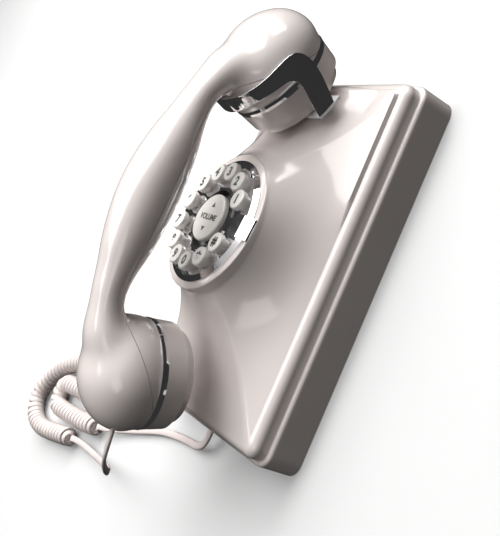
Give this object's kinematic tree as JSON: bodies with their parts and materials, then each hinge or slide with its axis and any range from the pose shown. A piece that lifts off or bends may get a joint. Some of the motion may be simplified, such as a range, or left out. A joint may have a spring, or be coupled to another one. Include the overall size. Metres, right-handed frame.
{
  "type": "telephone",
  "caption": "Push-button wall telephone in glossy white plastic with a chrome dial ring and cradle, a curved corded handset with round ends, and a curly cord.",
  "frame": {"origin": "centre of the flat back of the casing, which lies on the surface; the handset overhangs the casing alike at both ends, so this is also the middle of the whole telephone without its cord", "axes": "+X towards the telephone's right as seen from its front, +Y towards its top (the ear end of the handset), +Z away from the back and out of the dial; hung on a wall, +Y is up and +Z points into the room"},
  "size_m": [0.3621, 0.3325, 0.13],
  "materials": {
    "casing": "gloss",
    "handset_plastic": "gloss",
    "chrome_trim": "mirror",
    "key_plastic": "gloss",
    "dark_plastic": "satin",
    "guide_plastic": "satin",
    "keypad_rubber": "matte",
    "circuit_board": "satin",
    "steel": "zinc plated",
    "plug_plastic": "clear",
    "cord_sleeve": "satin vinyl"
  },
  "bodies": {
    "telephone": {"rear_case": "casing", "front_housing": "casing", "case_screws": "steel", "dial_plate": "chrome_trim", "dial_carrier": "dark_plastic", "key_mat": "keypad_rubber", "key_board": "circuit_board", "rocker_well": "dark_plastic", "rocker_pin": "steel", "rocker_trim": "chrome_trim", "finger_stop": "chrome_trim", "cradle_guide": "guide_plastic", "main_board": "circuit_board", "board_screws": "steel", "board_parts": "dark_plastic", "steel_weight": "steel", "ringer": "dark_plastic", "ringer_bracket": "steel", "line_jack": "dark_plastic", "body_jack": "dark_plastic", "body_plug": "plug_plastic", "switch_body": "dark_plastic", "hook_pin": "steel", "hook_bracket": "steel", "hook_switch": "dark_plastic", "hook_spring": "steel", "body_tail": "cord_sleeve", "curly_cord": "cord_sleeve", "handset_tail": "cord_sleeve"},
    "handset": {"handset_outer_shell": "handset_plastic", "handset_inner_shell": "handset_plastic", "ear_cap": "handset_plastic", "mouth_cap": "handset_plastic", "ear_ring": "chrome_trim", "mouth_ring": "chrome_trim", "receiver_capsule": "dark_plastic", "transmitter_capsule": "dark_plastic", "handset_weight": "steel", "handset_jack": "dark_plastic", "handset_plug": "plug_plastic"},
    "cradle": {"cradle_yoke": "chrome_trim"},
    "hook_lever": {"hook_lever": "dark_plastic"},
    "volume_rocker": {"volume_rocker": "key_plastic"},
    "ringer_switch": {"ringer_switch": "dark_plastic"},
    "button_01": {"button_01": "key_plastic"},
    "button_02": {"button_02": "key_plastic"},
    "button_03": {"button_03": "key_plastic"},
    "button_04": {"button_04": "key_plastic"},
    "button_05": {"button_05": "key_plastic"},
    "button_06": {"button_06": "key_plastic"},
    "button_07": {"button_07": "key_plastic"},
    "button_08": {"button_08": "key_plastic"},
    "button_09": {"button_09": "key_plastic"},
    "button_10": {"button_10": "key_plastic"},
    "button_11": {"button_11": "key_plastic"},
    "button_12": {"button_12": "key_plastic"}
  },
  "joints": [
    {"name": "handset_lift", "type": "slide", "parent": "telephone", "child": "handset", "axis": [0, 0.2706, 0.9627], "range_m": [0, 0.08]},
    {"name": "cradle_rise", "type": "slide", "parent": "telephone", "child": "cradle", "axis": [0, 0.2706, 0.9627], "range_m": [0, 0.003]},
    {"name": "hook_turn", "type": "hinge", "parent": "telephone", "child": "hook_lever", "pos_m": [0, 0.06021, 0.02973], "axis": [1, 0, 0], "range_deg": [0, 8]},
    {"name": "volume_tilt", "type": "hinge", "parent": "telephone", "child": "volume_rocker", "pos_m": [0, 0.00185, 0.07041], "axis": [1, 0, 0], "range_deg": [-4, 4], "stiffness_Nm_per_rad": 0.2},
    {"name": "ringer_slide", "type": "slide", "parent": "telephone", "child": "ringer_switch", "axis": [1, 0, 0], "range_m": [0, 0.004]},
    {"name": "button_01_press", "type": "slide", "parent": "telephone", "child": "button_01", "axis": [0, -0.0785, -0.9969], "range_m": [0, 0.0018], "stiffness_N_per_m": 220, "springref_m": -0.002},
    {"name": "button_02_press", "type": "slide", "parent": "telephone", "child": "button_02", "axis": [0, -0.0785, -0.9969], "range_m": [0, 0.0018], "stiffness_N_per_m": 220, "springref_m": -0.002},
    {"name": "button_03_press", "type": "slide", "parent": "telephone", "child": "button_03", "axis": [0, -0.0785, -0.9969], "range_m": [0, 0.0018], "stiffness_N_per_m": 220, "springref_m": -0.002},
    {"name": "button_04_press", "type": "slide", "parent": "telephone", "child": "button_04", "axis": [0, -0.0785, -0.9969], "range_m": [0, 0.0018], "stiffness_N_per_m": 220, "springref_m": -0.002},
    {"name": "button_05_press", "type": "slide", "parent": "telephone", "child": "button_05", "axis": [0, -0.0785, -0.9969], "range_m": [0, 0.0018], "stiffness_N_per_m": 220, "springref_m": -0.002},
    {"name": "button_06_press", "type": "slide", "parent": "telephone", "child": "button_06", "axis": [0, -0.0785, -0.9969], "range_m": [0, 0.0018], "stiffness_N_per_m": 220, "springref_m": -0.002},
    {"name": "button_07_press", "type": "slide", "parent": "telephone", "child": "button_07", "axis": [0, -0.0785, -0.9969], "range_m": [0, 0.0018], "stiffness_N_per_m": 220, "springref_m": -0.002},
    {"name": "button_08_press", "type": "slide", "parent": "telephone", "child": "button_08", "axis": [0, -0.0785, -0.9969], "range_m": [0, 0.0018], "stiffness_N_per_m": 220, "springref_m": -0.002},
    {"name": "button_09_press", "type": "slide", "parent": "telephone", "child": "button_09", "axis": [0, -0.0785, -0.9969], "range_m": [0, 0.0018], "stiffness_N_per_m": 220, "springref_m": -0.002},
    {"name": "button_10_press", "type": "slide", "parent": "telephone", "child": "button_10", "axis": [0, -0.0785, -0.9969], "range_m": [0, 0.0018], "stiffness_N_per_m": 220, "springref_m": -0.002},
    {"name": "button_11_press", "type": "slide", "parent": "telephone", "child": "button_11", "axis": [0, -0.0785, -0.9969], "range_m": [0, 0.0018], "stiffness_N_per_m": 220, "springref_m": -0.002},
    {"name": "button_12_press", "type": "slide", "parent": "telephone", "child": "button_12", "axis": [0, -0.0785, -0.9969], "range_m": [0, 0.0018], "stiffness_N_per_m": 220, "springref_m": -0.002}
  ],
  "couplings": [
    {"joint": "cradle_rise", "follows": "handset_lift", "ratio": 0.0375},
    {"joint": "hook_turn", "follows": "handset_lift", "rad_per_m": 1.719}
  ]
}
